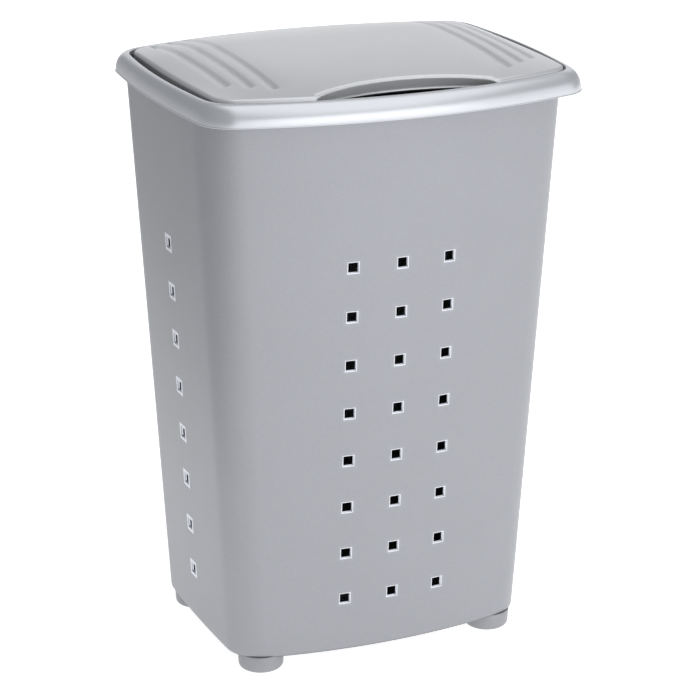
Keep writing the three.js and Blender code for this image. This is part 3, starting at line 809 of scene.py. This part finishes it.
def lid_field():
    """The field's points as [row][column], and the border stations that go with its outer points."""
    angles = spaced(LIMIT_ANGLE, MIDDLE_ANGLE, CORNER_COLUMNS)[1:]
    fronts = [corner_border(angle, -1, -1) for angle in reversed(angles)]
    fronts += [front_border(x) for x in COLUMNS]
    fronts += [corner_border(angle, 1, -1) for angle in angles]
    backs = [corner_border(angle, -1, 1) for angle in reversed(angles)]
    backs += [end_border(x, 1) for x in COLUMNS]
    backs += [corner_border(angle, 1, 1) for angle in angles]
    lefts = [side_border(share, -1) for share in spaced(0, 1, ROWS)]
    rights = [side_border(share, 1) for share in spaced(0, 1, ROWS)]
    last = len(fronts) - 1

    def straight(column, share):
        front, back = fronts[column].at(FIELD_INSET), backs[column].at(FIELD_INSET)
        return (
            front[0] * (1 - share) + back[0] * share,
            front[1] * (1 - share) + back[1] * share,
        )

    def point(row, column):
        share = row / ROWS
        x, y = straight(column, share)
        for edge, sides in ((0, lefts), (last, rights)):
            if abs(column - edge) < CORNER_COLUMNS:
                near = 1 - abs(column - edge) / CORNER_COLUMNS
                side = sides[row].at(FIELD_INSET)
                edge_x, edge_y = straight(edge, share)
                x += (side[0] - edge_x) * near
                y += (side[1] - edge_y) * near
        return x, y

    field = [[point(row, column) for column in range(last + 1)] for row in range(ROWS + 1)]
    stations = {}
    for column in range(last + 1):
        stations[0, column] = fronts[column]
        stations[ROWS, column] = backs[column]
    for row in range(1, ROWS):
        stations[row, 0] = lefts[row]
        stations[row, last] = rights[row]
    return field, stations


def edge_drop(distance, radius):
    """How far a rounded edge lies under the flat surface that it ends."""
    if distance >= radius:
        return 0
    return radius - math.sqrt(radius**2 - (radius - distance) ** 2)


def swell(distance, start, stop, height):
    """A soft bump between two distances from the edge."""
    share = (distance - start) / (stop - start)
    return height * math.sin(math.pi * share) ** 2 if 0 < share < 1 else 0


EDGE_RADIUS = 3.2
ARCH_EDGE_RADIUS = 0.8
ARCH_LEAN = 1.6


def outer_height(station, distance):
    x, y = station.at(distance)
    plain = -edge_drop(distance, EDGE_RADIUS)
    lip = -edge_drop(distance, ARCH_EDGE_RADIUS)
    lip += swell(distance, 2.6, 7.4, 0.9) - swell(distance, 1.3, 3.1, 0.6)
    lip += swell(distance, -0.6, 1.9, 0.25)
    return lid_top(x, y) + plain * (1 - station.arch) + lip * station.arch


def inner_height(station, distance):
    x, y = station.at(distance)
    return lid_top(x, y) - LID_SKIN


def outer_profile(station):
    """Points from the field's edge over the rounded edge and down the skirt."""
    distances = [7.7, 6.9, 6.1, 5.4, 4.7, 4.0, 3.5, 3.1, 2.75, 2.45, 2.15, 1.85, 1.55, 1.3, 1.1, 0.85]
    distances += [0.6, 0.35, 0.18, 0.06, 0]
    points = [(distance, outer_height(station, distance)) for distance in distances]
    top = points[-1][1]
    if station.arch:
        bottom, lean, curl = ARCH_WALL_END, ARCH_LEAN, 0.5
    else:
        bottom, lean, curl = LID_BOTTOM, LID_SKIRT_LEAN, 0
    foot = bottom + 1.4
    for share in (0.15, 0.35, 0.55, 0.75):
        points.append((lean * share, top + (foot - top) * share))
    points.append((lean * 0.95, foot))
    points.append((lean - curl, bottom + 0.7))
    points.append((lean - curl, bottom + 0.3))
    points.append((lean - curl + 0.25, bottom))
    return points


def inner_profile(station):
    """Points from the field's edge under the skin and down the inside of the skirt."""
    distances = [7.7, 6.9, 6.1, 5.4, 4.7, 4.0, 3.4]
    wall = LID_SKIRT_WALL
    points = [(distance, inner_height(station, distance)) for distance in distances]
    top = inner_height(station, wall)
    points += [(wall + 0.5, top - 0.15), (wall + 0.1, top - 0.6)]
    bottom, lean = (ARCH_WALL_END, ARCH_LEAN) if station.arch else (LID_BOTTOM, LID_SKIRT_LEAN)
    for share in (0.3, 0.65, 1):
        points.append((wall + lean * share, top - 0.6 + (bottom - top + 0.6) * share))
    return points


def lid_sheet(name, field, stations, drop, profile):
    """One side of the lid: a grid over the dome, whose border is extruded down the edge and the skirt."""
    rows, columns = len(field) - 1, len(field[0]) - 1
    bpy.ops.object.select_all(action="DESELECT")
    bpy.ops.mesh.primitive_grid_add(x_subdivisions=columns, y_subdivisions=rows, size=1)
    sheet = bpy.context.object
    sheet.name = name
    numbers = sheet.data.attributes.new("station", "INT", "POINT")
    keys = sorted(stations)
    number_of = {key: number for number, key in enumerate(keys)}
    for point in sheet.data.vertices:
        column = round((point.co.x + 0.5) * columns)
        row = round((point.co.y + 0.5) * rows)
        x, y = field[row][column]
        point.co = Vector((x, y, lid_top(x, y) - drop)) * MM
        numbers.data[point.index].value = number_of.get((row, column), -1)
    profiles = [profile(stations[key]) for key in keys]

    def placed(station, ring):
        distance, z = profiles[station][ring]
        x, y = stations[keys[station]].at(distance)
        return Vector((x, y, z)) * MM

    editing(sheet, "EDGE")
    bpy.ops.mesh.select_all(action="DESELECT")
    bpy.ops.mesh.select_non_manifold()
    for ring in range(len(profiles[0])):
        extruded_ring(sheet, lambda station: placed(station, ring))
    done()
    return sheet


def make_lid():
    field, stations = lid_field()
    inner = lid_sheet("lid_inner", field, stations, LID_SKIN, inner_profile)
    editing(inner, "FACE")
    bpy.ops.mesh.select_all(action="SELECT")
    bpy.ops.mesh.flip_normals()
    done()
    lid = lid_sheet("lid_panel", field, stations, 0, outer_profile)
    inner.select_set(True)
    bpy.ops.object.join()
    editing(lid, "EDGE")
    bpy.ops.mesh.select_all(action="DESELECT")
    bpy.ops.mesh.select_non_manifold()
    bpy.ops.mesh.bridge_edge_loops()
    done()
    return smooth(lid, 50)


# ---- Hinge ----

KNUCKLE_RADIUS = 3
KNUCKLE_HALF = 4.9
PIN_RADIUS = 1.6
PIN_PRESS_GAP = 0.05
PIN_RUNNING_GAP = 0.1
HINGE_INSET = 29.1
HINGE_SIDE_GAP = 0.6
EAR_OUTER_HALF = 2
EAR_INNER_HALF = 3
EAR_OUTER_X = COLLAR_INNER.width / 2 - HINGE_INSET - EAR_OUTER_HALF
KNUCKLE_X = EAR_OUTER_X - EAR_OUTER_HALF - HINGE_SIDE_GAP - KNUCKLE_HALF
EAR_INNER_X = KNUCKLE_X - KNUCKLE_HALF - HINGE_SIDE_GAP - EAR_INNER_HALF
PLATE_FRONT = 12
PLATE_END_X = 168
HINGE_EDGE = 0.25


def make_ear(name, x, half, bottom):
    """A post with a round eye for the pin."""
    ear = bar_along_x(name, x - half, x + half, hinge.y, hinge.z, KNUCKLE_RADIUS)
    editing(ear, "FACE")
    bpy.ops.mesh.select_all(action="SELECT")
    bpy.ops.mesh.bisect(plane_co=hinge * MM, plane_no=(0, 0, -1), use_fill=True, clear_outer=True)
    done()
    select_faces(ear, lambda place, normal: normal.z < -0.9)
    editing(ear, "FACE")
    bpy.ops.mesh.extrude_region_move(TRANSFORM_OT_translate={"value": (0, 0, (bottom - hinge.z) * MM)})
    bpy.ops.mesh.select_all(action="SELECT")
    bpy.ops.mesh.normals_make_consistent(inside=False)
    done()
    hole = bar_along_x("hole", x - 2 * half, x + 2 * half, hinge.y, hinge.z, PIN_RADIUS + PIN_PRESS_GAP)
    return cut_with(ear, hole)


def with_soft_edges(piece):
    settings = {"segments": 2, "limit_method": "ANGLE", "angle_limit": math.radians(50)}
    return modified(piece, "BEVEL", width=HINGE_EDGE * MM, **settings)


def make_hinge_mount(side):
    """The plate that reaches in from the collar's ledge, with the two ears that stand on it."""
    name = "collar_hinge_left" if side < 0 else "collar_hinge_right"
    xs = sorted((side * (EAR_INNER_X - EAR_INNER_HALF), side * PLATE_END_X))
    plate = block(name, (xs[0], hinge.y - PLATE_FRONT, SEAT), (xs[1], hinge.y, LEDGE))
    outer = make_ear("ear_outer", side * EAR_OUTER_X, EAR_OUTER_HALF, SEAT)
    inner = make_ear("ear_inner", side * EAR_INNER_X, EAR_INNER_HALF, SEAT)
    cut_with(plate, outer, "UNION")
    cut_with(plate, inner, "UNION")
    xs = sorted((side * RELIEF_SIDE_X, side * (PLATE_END_X + CUT_MARGIN)))
    low = (xs[0], RELIEF_SIDE_Y, SEAT - CUT_MARGIN)
    high = (xs[1], hinge.y + CUT_MARGIN, LEDGE + RELIEF_RISE)
    cut_with(plate, block("relief", low, high))
    return smooth(with_soft_edges(plate), 35)


def make_knuckle(side):
    """The lid's eye on its web, which runs up to the lid's underside."""
    name = "lid_knuckle_left" if side < 0 else "lid_knuckle_right"
    x = side * KNUCKLE_X
    eye = bar_along_x(name, x - KNUCKLE_HALF, x + KNUCKLE_HALF, hinge.y, hinge.z, KNUCKLE_RADIUS)
    top = lid_top(x, hinge.y) - LID_SKIN + 0.6
    low = (x - KNUCKLE_HALF, hinge.y - KNUCKLE_RADIUS, hinge.z)
    high = (x + KNUCKLE_HALF, hinge.y + KNUCKLE_RADIUS, top)
    cut_with(eye, block("web", low, high), "UNION")
    reach = KNUCKLE_HALF + CUT_MARGIN
    bore = bar_along_x("bore", x - reach, x + reach, hinge.y, hinge.z, PIN_RADIUS + PIN_RUNNING_GAP)
    cut_with(eye, bore)
    return smooth(with_soft_edges(eye), 35)


def make_pin(side):
    """A turned pin with a low round head towards the middle of the lid."""
    name = "pin_left" if side < 0 else "pin_right"
    inner = EAR_INNER_X - EAR_INNER_HALF
    outer = EAR_OUTER_X + EAR_OUTER_HALF
    pin = bar_along_x(name, *sorted((side * inner, side * outer)), hinge.y, hinge.z, PIN_RADIUS)
    select_faces(pin, lambda place, normal: abs(abs(place.x) - inner) < 0.1)
    editing(pin, "FACE")
    bpy.ops.mesh.extrude_region_move(TRANSFORM_OT_translate={"value": (-side * 0.3 * MM, 0, 0)})
    bpy.ops.mesh.inset(thickness=-1 * MM)
    bpy.ops.mesh.extrude_region_move(TRANSFORM_OT_translate={"value": (-side * 1 * MM, 0, 0)})
    bpy.ops.mesh.bevel(offset=0.6 * MM, segments=4)
    done()
    select_faces(pin, lambda place, normal: abs(abs(place.x) - outer) < 0.1)
    editing(pin, "FACE")
    bpy.ops.mesh.bevel(offset=0.4 * MM, segments=3)
    done()
    return smooth(pin, 40)


# ---- Finishes ----


def new_group(name, inputs, outputs):
    group = bpy.data.node_groups.new(name, "ShaderNodeTree")
    for socket, kind, value in inputs:
        made = group.interface.new_socket(name=socket, in_out="INPUT", socket_type=kind)
        if value is not None:
            made.default_value = value
    for socket, kind in outputs:
        group.interface.new_socket(name=socket, in_out="OUTPUT", socket_type=kind)
    return group, group.nodes.new("NodeGroupInput"), group.nodes.new("NodeGroupOutput")


def math_node(tree, operation, first, second):
    """A Math node whose inputs are sockets or numbers."""
    node = tree.nodes.new("ShaderNodeMath")
    node.operation = operation
    for socket, value in zip(node.inputs, (first, second)):
        if isinstance(value, (int, float)):
            socket.default_value = value
        else:
            tree.links.new(value, socket)
    return node.outputs[0]


def flake_group():
    """Aluminium flakes in the plastic: every flake is a cell with its own brightness, under soft clouds."""
    group, given, out = new_group(
        "silver_flakes",
        [
            ("Place", "NodeSocketVector", None),
            ("Colour", "NodeSocketColor", (0.5, 0.5, 0.5, 1)),
            ("Flake size", "NodeSocketFloat", 0.4),
            ("Flakes", "NodeSocketFloat", 0.1),
            ("Clouds", "NodeSocketFloat", 0.03),
            ("Roughness", "NodeSocketFloat", 0.4),
        ],
        [("Colour", "NodeSocketColor"), ("Roughness", "NodeSocketFloat")],
    )
    cells = group.nodes.new("ShaderNodeTexVoronoi")
    clouds = group.nodes.new("ShaderNodeTexNoise")
    clouds.inputs["Scale"].default_value = 14
    clouds.inputs["Detail"].default_value = 3
    group.links.new(given.outputs["Place"], cells.inputs["Vector"])
    group.links.new(given.outputs["Place"], clouds.inputs["Vector"])
    cell_scale = math_node(group, "DIVIDE", 1 / MM, given.outputs["Flake size"])
    group.links.new(cell_scale, cells.inputs["Scale"])
    split = group.nodes.new("ShaderNodeSeparateColor")
    group.links.new(cells.outputs["Color"], split.inputs["Color"])
    glint = math_node(group, "SUBTRACT", split.outputs[0], 0.5)
    cloud = math_node(group, "SUBTRACT", clouds.outputs["Fac"], 0.5)
    shine = math_node(group, "MULTIPLY", glint, given.outputs["Flakes"])
    shade = math_node(group, "MULTIPLY", cloud, given.outputs["Clouds"])
    level = math_node(group, "ADD", math_node(group, "ADD", shine, shade), 1)
    tint = group.nodes.new("ShaderNodeVectorMath")
    tint.operation = "SCALE"
    group.links.new(given.outputs["Colour"], tint.inputs[0])
    group.links.new(level, tint.inputs["Scale"])
    group.links.new(tint.outputs[0], out.inputs["Colour"])
    rough = math_node(group, "MULTIPLY", math_node(group, "SUBTRACT", 2, level), given.outputs["Roughness"])
    group.links.new(rough, out.inputs["Roughness"])
    return group


def grain_group():
    """The fine spark-eroded grain of the mould, with a slow waviness under it, as a height."""
    group, given, out = new_group(
        "mould_grain",
        [
            ("Place", "NodeSocketVector", None),
            ("Grain size", "NodeSocketFloat", 0.6),
            ("Wave", "NodeSocketFloat", 0.5),
        ],
        [("Height", "NodeSocketFloat")],
    )
    fine = group.nodes.new("ShaderNodeTexNoise")
    fine.inputs["Detail"].default_value = 4
    slow = group.nodes.new("ShaderNodeTexNoise")
    slow.inputs["Scale"].default_value = 22
    slow.inputs["Detail"].default_value = 1
    group.links.new(given.outputs["Place"], fine.inputs["Vector"])
    group.links.new(given.outputs["Place"], slow.inputs["Vector"])
    group.links.new(math_node(group, "DIVIDE", 1 / MM, given.outputs["Grain size"]), fine.inputs["Scale"])
    wave = math_node(group, "MULTIPLY", slow.outputs["Fac"], given.outputs["Wave"])
    group.links.new(math_node(group, "ADD", fine.outputs["Fac"], wave), out.inputs["Height"])
    return group


def painted_light_group():
    """Painted highlight and painted shade: lightens the colour on the marked hole frames, and darkens it
    where shade marks a shaded corner, recess or underside.
    """
    group, given, out = new_group(
        "painted_highlight_and_shade",
        [("Colour", "NodeSocketColor", (0.5, 0.5, 0.5, 1)), ("Painted highlight", "NodeSocketFloat", 0.6)],
        [("Colour", "NodeSocketColor")],
    )
    painted_light = group.nodes.new("ShaderNodeAttribute")
    painted_light.attribute_name = "painted_light"
    shade = group.nodes.new("ShaderNodeAttribute")
    shade.attribute_name = "shade"
    gain = math_node(group, "MULTIPLY", painted_light.outputs["Fac"], given.outputs["Painted highlight"])
    loss = math_node(group, "MULTIPLY", shade.outputs["Fac"], 0.7)
    level = math_node(group, "SUBTRACT", math_node(group, "ADD", gain, 1), loss)
    tint = group.nodes.new("ShaderNodeVectorMath")
    tint.operation = "SCALE"
    group.links.new(given.outputs["Colour"], tint.inputs[0])
    group.links.new(level, tint.inputs["Scale"])
    group.links.new(tint.outputs[0], out.inputs["Colour"])
    return group


FLAKES = flake_group()
GRAIN = grain_group()
PAINTED_LIGHT = painted_light_group()


def silver(name, colour, roughness, metallic, flake=0.45, flakes=0.1, depth=0.010, painted_highlight=0.0):
    """Silver plastic: metal flakes, moulded grain, and painted highlights and painted shade from the marked
    points, with sizes in millimetres.
    """
    material = bpy.data.materials.new(name)
    material.use_nodes = True
    tree = material.node_tree
    shader = tree.nodes["Principled BSDF"]
    place = tree.nodes.new("ShaderNodeTexCoord").outputs["Object"]
    metal = tree.nodes.new("ShaderNodeGroup")
    metal.node_tree = FLAKES
    metal.inputs["Colour"].default_value = (*colour, 1)
    metal.inputs["Flake size"].default_value = flake
    metal.inputs["Flakes"].default_value = flakes
    metal.inputs["Clouds"].default_value = 0.05
    metal.inputs["Roughness"].default_value = roughness
    tree.links.new(place, metal.inputs["Place"])
    # The painted highlight and painted shade from the points' marks go on the colour here.
    painted_light = tree.nodes.new("ShaderNodeGroup")
    painted_light.node_tree = PAINTED_LIGHT
    painted_light.inputs["Painted highlight"].default_value = painted_highlight
    tree.links.new(metal.outputs["Colour"], painted_light.inputs["Colour"])
    tree.links.new(painted_light.outputs["Colour"], shader.inputs["Base Color"])
    tree.links.new(metal.outputs["Roughness"], shader.inputs["Roughness"])
    moulded = tree.nodes.new("ShaderNodeGroup")
    moulded.node_tree = GRAIN
    moulded.inputs["Grain size"].default_value = 0.7
    tree.links.new(place, moulded.inputs["Place"])
    bump = tree.nodes.new("ShaderNodeBump")
    bump.inputs["Strength"].default_value = 0.35
    bump.inputs["Distance"].default_value = depth * MM
    tree.links.new(moulded.outputs["Height"], bump.inputs["Height"])
    tree.links.new(bump.outputs["Normal"], shader.inputs["Normal"])
    shader.inputs["Metallic"].default_value = metallic
    shader.inputs["IOR"].default_value = 1.48
    return material


# The tub and the feet get a darker copy of the collar's and lid's silver: painted shade that offsets the
# glowing floor's light on them.
TUB_SILVER = silver("tub_silver_painted_darker", (0.315, 0.322, 0.345), 0.42, 0.55, painted_highlight=1.3)
COLLAR_SILVER = silver("collar_silver", (0.56, 0.572, 0.60), 0.34, 0.7, flake=0.3, flakes=0.04, depth=0.002)
LID_SILVER = silver("lid_silver", (0.55, 0.558, 0.572), 0.36, 0.6, flakes=0.08, depth=0.006)
FOOT_SILVER = silver("foot_silver_painted_darker", (0.30, 0.306, 0.325), 0.42, 0.5)
PIN_GREY = silver("pin_grey", (0.33, 0.335, 0.345), 0.5, 0.1, flake=0.3)


def finished(piece, material, slot, body, *nodes):
    """Gives a piece its finish, its body and the nodes that it stands in for; the slot is not used."""
    piece.data.materials.clear()
    piece.data.materials.append(material)
    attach(piece, body)
    if nodes:
        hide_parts(*nodes)


# ---- The hamper ----

finished(make_tub(), TUB_SILVER, "tub_shell", "base", "tub")
finished(make_collar(), COLLAR_SILVER, "rim", "base", "collar")
finished(make_lip(), COLLAR_SILVER, "rim", "base")
finished(make_lid(), LID_SILVER, "lid_panel", "lid", "lid")
for node in FOOT_NODES:
    finished(make_foot(node), FOOT_SILVER, "foot", "base", node)
for side in (-1, 1):
    finished(make_hinge_mount(side), COLLAR_SILVER, "rim", "base")
    finished(make_knuckle(side), LID_SILVER, "lid_panel", "lid")
    pin_node = "hinge_pin_left" if side < 0 else "hinge_pin_right"
    finished(make_pin(side), PIN_GREY, "hinge_pin", "base", pin_node)


# ---- Studio ----

CAMERA_PLACE = (-0.9063, -2.0775, 1.0620)
CAMERA_YAW = -0.4129
CAMERA_PITCH = 0.3334
CAMERA_ROLL = 0.0031
CAMERA_LENS = 129.6
SENSOR_WIDTH = 36


def studio_floor():
    """A pale floor that glows softly, and less to the left of the hamper."""
    bpy.ops.mesh.primitive_plane_add(size=60, location=(0, 0, 0))
    floor = bpy.context.object
    floor.name = "floor"
    material = bpy.data.materials.new("pale_floor")
    material.use_nodes = True
    tree = material.node_tree
    shader = tree.nodes["Principled BSDF"]
    shader.inputs["Base Color"].default_value = (0.7, 0.7, 0.7, 1)
    shader.inputs["Roughness"].default_value = 0.8
    shader.inputs["Specular IOR Level"].default_value = 0.1
    shader.inputs["Emission Color"].default_value = (1, 1, 1, 1)
    place = tree.nodes.new("ShaderNodeTexCoord")
    turn = tree.nodes.new("ShaderNodeMapping")
    turn.inputs["Rotation"].default_value = (0, 0, -CAMERA_YAW)
    split = tree.nodes.new("ShaderNodeSeparateXYZ")
    tree.links.new(place.outputs["Object"], turn.inputs["Vector"])
    tree.links.new(turn.outputs["Vector"], split.inputs[0])
    spread = math_node(tree, "MULTIPLY", math_node(tree, "MAXIMUM", split.outputs["Y"], 0), 0.16)
    to_left = math_node(tree, "MULTIPLY", split.outputs["X"], -1)
    pool = fade(tree, math_node(tree, "SUBTRACT", to_left, spread), 0.38, 0.9)
    glow = math_node(tree, "ADD", math_node(tree, "MULTIPLY", pool, 0.55), 0.3)
    tree.links.new(glow, shader.inputs["Emission Strength"])
    floor.data.materials.append(material)


def fade(tree, value, full, gone):
    """1 up to one value, then smoothly down to 0 at the other."""
    node = tree.nodes.new("ShaderNodeMapRange")
    node.interpolation_type = "SMOOTHSTEP"
    tree.links.new(value, node.inputs["Value"])
    node.inputs["From Min"].default_value = full
    node.inputs["From Max"].default_value = gone
    node.inputs["To Min"].default_value = 1
    node.inputs["To Max"].default_value = 0
    return node.outputs["Result"]


def softbox(name, place, aim, width, height, power):
    """A rectangular light, in metres and watts, that the camera doesn't see."""
    light = bpy.data.lights.new(name, "AREA")
    light.shape = "RECTANGLE"
    light.size = width
    light.size_y = height
    light.energy = power
    lamp = bpy.data.objects.new(name, light)
    bpy.context.scene.collection.objects.link(lamp)
    lamp.location = place
    lamp.rotation_euler = (Vector(aim) - Vector(place)).to_track_quat("-Z", "Y").to_euler()
    lamp.visible_camera = False


def studio_light():
    world = bpy.data.worlds.new("studio")
    bpy.context.scene.world = world
    world.use_nodes = True
    background = world.node_tree.nodes["Background"]
    background.inputs["Color"].default_value = (0.95, 0.97, 1, 1)
    background.inputs["Strength"].default_value = 0.42
    middle = (0, 0, 0.4)
    softbox("overhead", (0.55, -0.75, 2.3), (0.55, -0.75, 0), 1.8, 3.7, 25)
    softbox("front_panel", (0.95, -4.2, 1.3), (0.2, 0, 0.6), 4.0, 2.2, 56)
    softbox("right_key", (2.6, -1.6, 1.1), middle, 1.8, 1.6, 8)
    softbox("back_glow", (1.1, 3.0, 1.3), middle, 3.2, 2.0, 13)


def studio_camera():
    camera_data = bpy.data.cameras.new("camera")
    camera_data.lens = CAMERA_LENS
    camera_data.sensor_width = SENSOR_WIDTH
    camera_data.clip_end = 100
    camera = bpy.data.objects.new("camera", camera_data)
    bpy.context.scene.collection.objects.link(camera)
    bpy.context.scene.camera = camera
    camera.location = CAMERA_PLACE
    camera.rotation_mode = "QUATERNION"
    turn = Quaternion((0, 0, 1), CAMERA_YAW) @ Quaternion((1, 0, 0), math.pi / 2 - CAMERA_PITCH)
    camera.rotation_quaternion = turn @ Quaternion((0, 0, 1), CAMERA_ROLL)


studio_floor()
studio_light()
studio_camera()
bpy.context.scene.view_settings.view_transform = "Standard"
